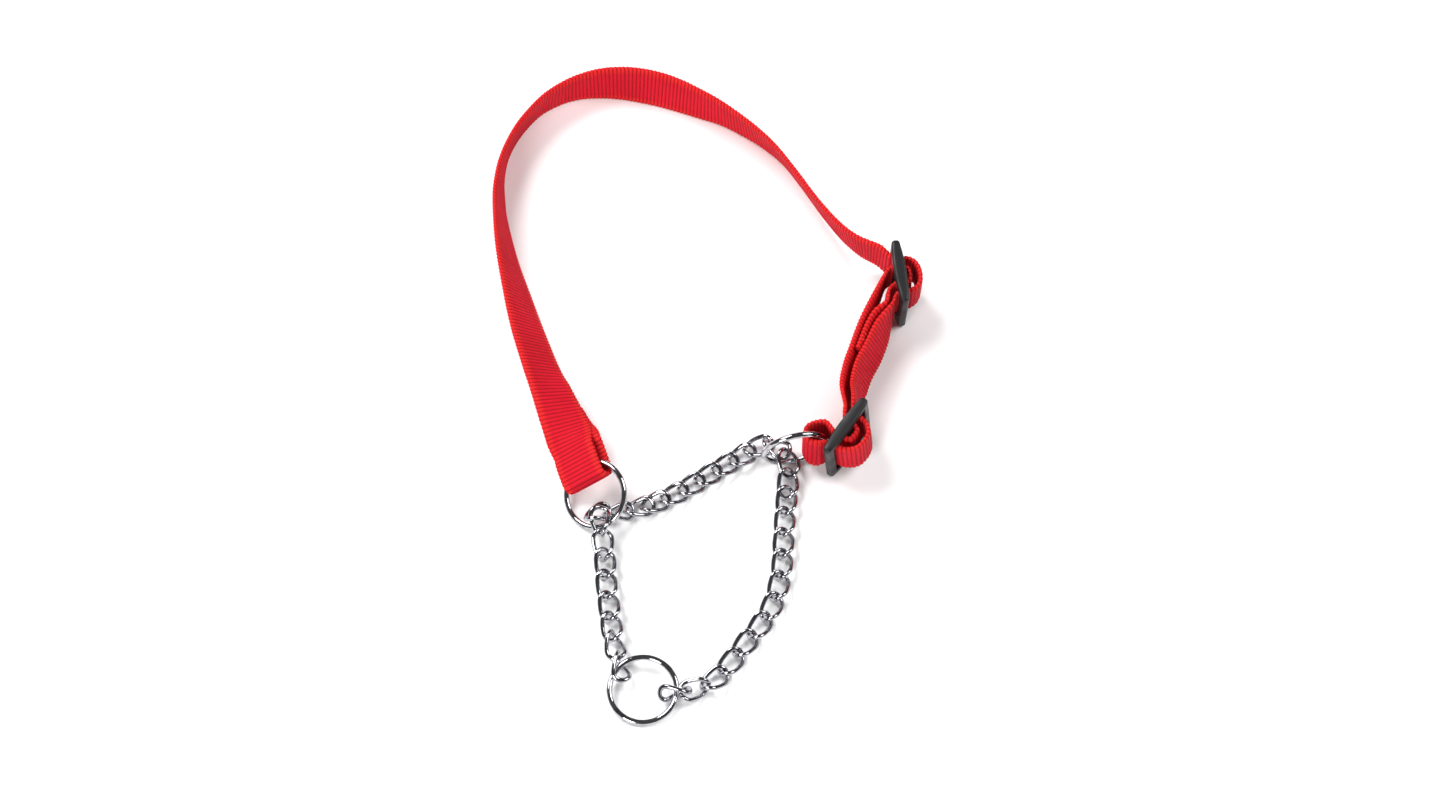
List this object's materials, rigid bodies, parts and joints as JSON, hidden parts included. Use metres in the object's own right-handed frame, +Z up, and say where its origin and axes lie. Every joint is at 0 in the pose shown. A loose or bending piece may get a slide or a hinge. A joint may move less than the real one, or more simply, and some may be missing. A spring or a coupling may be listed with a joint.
{
  "type": "martingale dog collar",
  "caption": "Half-check dog collar: ribbed webbing neck strap with two moulded slides and two rings, joined by a curb chain loop that carries a lead ring.",
  "frame": {"origin": "centre of the laid-out collar's bounding box, on the flat surface that it rests on", "axes": "+Z up from the surface; +Y from the chain and lead ring towards the crown of the neck loop (longest extent); +X towards the side with the two slides"},
  "size_m": [0.1874, 0.3148, 0.0321],
  "materials": {
    "webbing": "ribbed woven nylon webbing, matt with a slight sheen",
    "thread": "matt bonded thread",
    "slide_plastic": "fine satin moulded plastic",
    "ring_steel": "bright nickel plate over welded wire",
    "chain_steel": "bright nickel plate, lightly tumbled"
  },
  "bodies": {
    "strap": {"webbing": "webbing", "left_loop_stitching": "thread", "slide_loop_stitching": "thread"},
    "upper_slide": {"upper_slide": "slide_plastic"},
    "lower_slide": {"lower_slide": "slide_plastic"},
    "left_ring": {"left_ring": "ring_steel"},
    "right_ring": {"right_ring": "ring_steel"},
    "lead_ring": {"lead_ring": "ring_steel"},
    "left_link_1": {"left_link_1": "chain_steel"},
    "left_link_2": {"left_link_2": "chain_steel"},
    "left_link_3": {"left_link_3": "chain_steel"},
    "left_link_4": {"left_link_4": "chain_steel"},
    "left_link_5": {"left_link_5": "chain_steel"},
    "left_link_6": {"left_link_6": "chain_steel"},
    "left_link_7": {"left_link_7": "chain_steel"},
    "left_link_8": {"left_link_8": "chain_steel"},
    "top_link_1": {"top_link_1": "chain_steel"},
    "top_link_2": {"top_link_2": "chain_steel"},
    "top_link_3": {"top_link_3": "chain_steel"},
    "top_link_4": {"top_link_4": "chain_steel"},
    "top_link_5": {"top_link_5": "chain_steel"},
    "top_link_6": {"top_link_6": "chain_steel"},
    "top_link_7": {"top_link_7": "chain_steel"},
    "top_link_8": {"top_link_8": "chain_steel"},
    "top_link_9": {"top_link_9": "chain_steel"},
    "top_link_10": {"top_link_10": "chain_steel"},
    "top_link_11": {"top_link_11": "chain_steel"},
    "right_link_1": {"right_link_1": "chain_steel"},
    "right_link_2": {"right_link_2": "chain_steel"},
    "right_link_3": {"right_link_3": "chain_steel"},
    "right_link_4": {"right_link_4": "chain_steel"},
    "right_link_5": {"right_link_5": "chain_steel"},
    "right_link_6": {"right_link_6": "chain_steel"},
    "right_link_7": {"right_link_7": "chain_steel"},
    "right_link_8": {"right_link_8": "chain_steel"},
    "right_link_9": {"right_link_9": "chain_steel"},
    "right_link_10": {"right_link_10": "chain_steel"},
    "right_link_11": {"right_link_11": "chain_steel"},
    "right_link_12": {"right_link_12": "chain_steel"},
    "right_link_13": {"right_link_13": "chain_steel"},
    "right_link_14": {"right_link_14": "chain_steel"}
  },
  "joints": [
    {"name": "upper_slide_rock", "type": "hinge", "parent": "strap", "child": "upper_slide", "pos_m": [0.0834, 0.04485, 0.0162], "axis": [0.0194, -0.1378, 0.9903], "range_deg": [-4, 1.5]},
    {"name": "lower_slide_rock", "type": "hinge", "parent": "strap", "child": "lower_slide", "pos_m": [0.0598, -0.03145, 0.0162], "axis": [-0.0818, -0.1126, 0.9903], "range_deg": [-4, 1]},
    {"name": "left_ring_spin", "type": "hinge", "parent": "strap", "child": "left_ring", "pos_m": [-0.046, -0.05525, 0.0096], "axis": [-0.4494, -0.3995, 0.799], "continuous": true},
    {"name": "right_ring_spin", "type": "hinge", "parent": "strap", "child": "right_ring", "pos_m": [0.0382, -0.03605, 0.015], "axis": [-0.2101, 0.9703, 0.12], "continuous": true},
    {"name": "lead_swing", "type": "hinge", "parent": "strap", "child": "left_link_8", "pos_m": [-0.044, -0.06495, 0.0073], "axis": [0, 0, 1], "range_deg": [-5, 3.5]},
    {"name": "left_link_7_turn", "type": "hinge", "parent": "left_link_8", "child": "left_link_7", "pos_m": [-0.043, -0.07175, 0.0066], "axis": [0, 0, 1], "range_deg": [-0.38, 0.27]},
    {"name": "left_link_6_turn", "type": "hinge", "parent": "left_link_7", "child": "left_link_6", "pos_m": [-0.0419, -0.08035, 0.0041], "axis": [0, 0, 1], "range_deg": [-0.11, 0.08]},
    {"name": "left_link_5_turn", "type": "hinge", "parent": "left_link_6", "child": "left_link_5", "pos_m": [-0.041, -0.08925, 0.0032], "axis": [0, 0, 1], "range_deg": [-0.16, 0.22]},
    {"name": "left_link_4_turn", "type": "hinge", "parent": "left_link_5", "child": "left_link_4", "pos_m": [-0.04, -0.09925, 0.0032], "axis": [0, 0, 1], "range_deg": [-0.39, 0.55]},
    {"name": "left_link_3_turn", "type": "hinge", "parent": "left_link_4", "child": "left_link_3", "pos_m": [-0.0388, -0.10895, 0.0033], "axis": [0, 0, 1], "range_deg": [-0.61, 0.86]},
    {"name": "left_link_2_turn", "type": "hinge", "parent": "left_link_3", "child": "left_link_2", "pos_m": [-0.0375, -0.11825, 0.0039], "axis": [0, 0, 1], "range_deg": [-0.81, 1.15]},
    {"name": "left_link_1_turn", "type": "hinge", "parent": "left_link_2", "child": "left_link_1", "pos_m": [-0.0357, -0.12785, 0.00465], "axis": [0, 0, 1], "range_deg": [-1, 1.42]},
    {"name": "lead_ring_turn", "type": "hinge", "parent": "left_link_1", "child": "lead_ring", "pos_m": [-0.0298, -0.1377, 0.00425], "axis": [0, 0, 1], "range_deg": [-1.04, 1.48]},
    {"name": "right_link_1_turn", "type": "hinge", "parent": "strap", "child": "right_link_1", "pos_m": [0.0328, -0.03465, 0.0064], "axis": [0, 0, 1], "range_deg": [-4.16, 2.92]},
    {"name": "right_link_2_turn", "type": "hinge", "parent": "right_link_1", "child": "right_link_2", "pos_m": [0.0351, -0.04265, 0.0051], "axis": [0, 0, 1], "range_deg": [-0.65, 0.46]},
    {"name": "right_link_3_turn", "type": "hinge", "parent": "right_link_2", "child": "right_link_3", "pos_m": [0.0347, -0.05095, 0.0036], "axis": [0, 0, 1], "range_deg": [-0.38, 0.27]},
    {"name": "right_link_4_turn", "type": "hinge", "parent": "right_link_3", "child": "right_link_4", "pos_m": [0.034, -0.05985, 0.0032], "axis": [0, 0, 1], "range_deg": [-0.11, 0.08]},
    {"name": "right_link_5_turn", "type": "hinge", "parent": "right_link_4", "child": "right_link_5", "pos_m": [0.0333, -0.06985, 0.0032], "axis": [0, 0, 1], "range_deg": [-0.18, 0.24]},
    {"name": "right_link_6_turn", "type": "hinge", "parent": "right_link_5", "child": "right_link_6", "pos_m": [0.0327, -0.07985, 0.0032], "axis": [0, 0, 1], "range_deg": [-0.4, 0.56]},
    {"name": "right_link_7_turn", "type": "hinge", "parent": "right_link_6", "child": "right_link_7", "pos_m": [0.0316, -0.08995, 0.0032], "axis": [0, 0, 1], "range_deg": [-0.6, 0.86]},
    {"name": "right_link_8_turn", "type": "hinge", "parent": "right_link_7", "child": "right_link_8", "pos_m": [0.0293, -0.09995, 0.0032], "axis": [0, 0, 1], "range_deg": [-0.76, 1.08]},
    {"name": "right_link_9_turn", "type": "hinge", "parent": "right_link_8", "child": "right_link_9", "pos_m": [0.0253, -0.10925, 0.0032], "axis": [0, 0, 1], "range_deg": [-0.84, 1.19]},
    {"name": "right_link_10_turn", "type": "hinge", "parent": "right_link_9", "child": "right_link_10", "pos_m": [0.0198, -0.11775, 0.0032], "axis": [0, 0, 1], "range_deg": [-0.84, 1.19]},
    {"name": "right_link_11_turn", "type": "hinge", "parent": "right_link_10", "child": "right_link_11", "pos_m": [0.0139, -0.12595, 0.0032], "axis": [0, 0, 1], "range_deg": [-0.82, 1.16]},
    {"name": "right_link_12_turn", "type": "hinge", "parent": "right_link_11", "child": "right_link_12", "pos_m": [0.0076, -0.13395, 0.0032], "axis": [0, 0, 1], "range_deg": [-0.78, 1.1]},
    {"name": "right_link_13_turn", "type": "hinge", "parent": "right_link_12", "child": "right_link_13", "pos_m": [0.0001, -0.14035, 0.0041], "axis": [0, 0, 1], "range_deg": [-0.65, 0.92]},
    {"name": "right_link_14_turn", "type": "hinge", "parent": "right_link_13", "child": "right_link_14", "pos_m": [-0.008, -0.14345, 0.005], "axis": [0, 0, 1], "range_deg": [-0.42, 0.59]},
    {"name": "top_run_sway", "type": "hinge", "parent": "strap", "child": "top_link_1", "pos_m": [-0.044, -0.06495, 0.0073], "axis": [0, 0, 1], "range_deg": [-1.5, 2]},
    {"name": "top_link_2_turn", "type": "hinge", "parent": "top_link_1", "child": "top_link_2", "pos_m": [-0.0403, -0.06165, 0.0049], "axis": [0, 0, 1], "range_deg": [-1.7, 2.26]},
    {"name": "top_link_3_turn", "type": "hinge", "parent": "top_link_2", "child": "top_link_3", "pos_m": [-0.0319, -0.05935, 0.00325], "axis": [0, 0, 1], "range_deg": [-0.43, 0.57]},
    {"name": "top_link_4_turn", "type": "hinge", "parent": "top_link_3", "child": "top_link_4", "pos_m": [-0.0242, -0.05705, 0.00315], "axis": [0, 0, 1], "range_deg": [-0.94, 0.71]},
    {"name": "top_link_5_turn", "type": "hinge", "parent": "top_link_4", "child": "top_link_5", "pos_m": [-0.0169, -0.05395, 0.0032], "axis": [0, 0, 1], "range_deg": [-1.95, 1.47]},
    {"name": "top_link_6_turn", "type": "hinge", "parent": "top_link_5", "child": "top_link_6", "pos_m": [-0.0094, -0.04985, 0.0032], "axis": [0, 0, 1], "range_deg": [-2.62, 1.97]},
    {"name": "top_link_7_turn", "type": "hinge", "parent": "top_link_6", "child": "top_link_7", "pos_m": [-0.0023, -0.04525, 0.0032], "axis": [0, 0, 1], "range_deg": [-2.3, 1.73]},
    {"name": "top_link_8_turn", "type": "hinge", "parent": "top_link_7", "child": "top_link_8", "pos_m": [0.0048, -0.04045, 0.0032], "axis": [0, 0, 1], "range_deg": [-1.21, 0.91]},
    {"name": "top_link_9_turn", "type": "hinge", "parent": "top_link_8", "child": "top_link_9", "pos_m": [0.012, -0.03575, 0.0033], "axis": [0, 0, 1], "range_deg": [-0.15, 0.12]},
    {"name": "top_link_10_turn", "type": "hinge", "parent": "top_link_9", "child": "top_link_10", "pos_m": [0.0192, -0.03145, 0.004], "axis": [0, 0, 1], "range_deg": [-0.64, 0.85]},
    {"name": "top_link_11_turn", "type": "hinge", "parent": "top_link_10", "child": "top_link_11", "pos_m": [0.0266, -0.03025, 0.0056], "axis": [0, 0, 1], "range_deg": [-0.82, 1.09]}
  ],
  "couplings": [
    {"joint": "left_link_7_turn", "follows": "lead_swing", "ratio": 0.07059},
    {"joint": "left_link_6_turn", "follows": "lead_swing", "ratio": 0.01761},
    {"joint": "left_link_5_turn", "follows": "lead_swing", "ratio": -0.03974},
    {"joint": "left_link_4_turn", "follows": "lead_swing", "ratio": -0.1043},
    {"joint": "left_link_3_turn", "follows": "lead_swing", "ratio": -0.16449},
    {"joint": "left_link_2_turn", "follows": "lead_swing", "ratio": -0.22062},
    {"joint": "left_link_1_turn", "follows": "lead_swing", "ratio": -0.27371},
    {"joint": "lead_ring_turn", "follows": "lead_swing", "ratio": -0.28534},
    {"joint": "right_link_1_turn", "follows": "lead_swing", "ratio": 0.81096},
    {"joint": "right_link_2_turn", "follows": "lead_swing", "ratio": 0.12356},
    {"joint": "right_link_3_turn", "follows": "lead_swing", "ratio": 0.07088},
    {"joint": "right_link_4_turn", "follows": "lead_swing", "ratio": 0.01724},
    {"joint": "right_link_5_turn", "follows": "lead_swing", "ratio": -0.04393},
    {"joint": "right_link_6_turn", "follows": "lead_swing", "ratio": -0.10617},
    {"joint": "right_link_7_turn", "follows": "lead_swing", "ratio": -0.1638},
    {"joint": "right_link_8_turn", "follows": "lead_swing", "ratio": -0.20806},
    {"joint": "right_link_9_turn", "follows": "lead_swing", "ratio": -0.22955},
    {"joint": "right_link_10_turn", "follows": "lead_swing", "ratio": -0.22969},
    {"joint": "right_link_11_turn", "follows": "lead_swing", "ratio": -0.22355},
    {"joint": "right_link_12_turn", "follows": "lead_swing", "ratio": -0.21181},
    {"joint": "right_link_13_turn", "follows": "lead_swing", "ratio": -0.17641},
    {"joint": "right_link_14_turn", "follows": "lead_swing", "ratio": -0.11203},
    {"joint": "top_link_2_turn", "follows": "top_run_sway", "ratio": 1.0969},
    {"joint": "top_link_3_turn", "follows": "top_run_sway", "ratio": 0.26982},
    {"joint": "top_link_4_turn", "follows": "top_run_sway", "ratio": -0.4497},
    {"joint": "top_link_5_turn", "follows": "top_run_sway", "ratio": -0.94639},
    {"joint": "top_link_6_turn", "follows": "top_run_sway", "ratio": -1.2721},
    {"joint": "top_link_7_turn", "follows": "top_run_sway", "ratio": -1.1159},
    {"joint": "top_link_8_turn", "follows": "top_run_sway", "ratio": -0.58463},
    {"joint": "top_link_9_turn", "follows": "top_run_sway", "ratio": -0.06515},
    {"joint": "top_link_10_turn", "follows": "top_run_sway", "ratio": 0.40832},
    {"joint": "top_link_11_turn", "follows": "top_run_sway", "ratio": 0.52453}
  ]
}
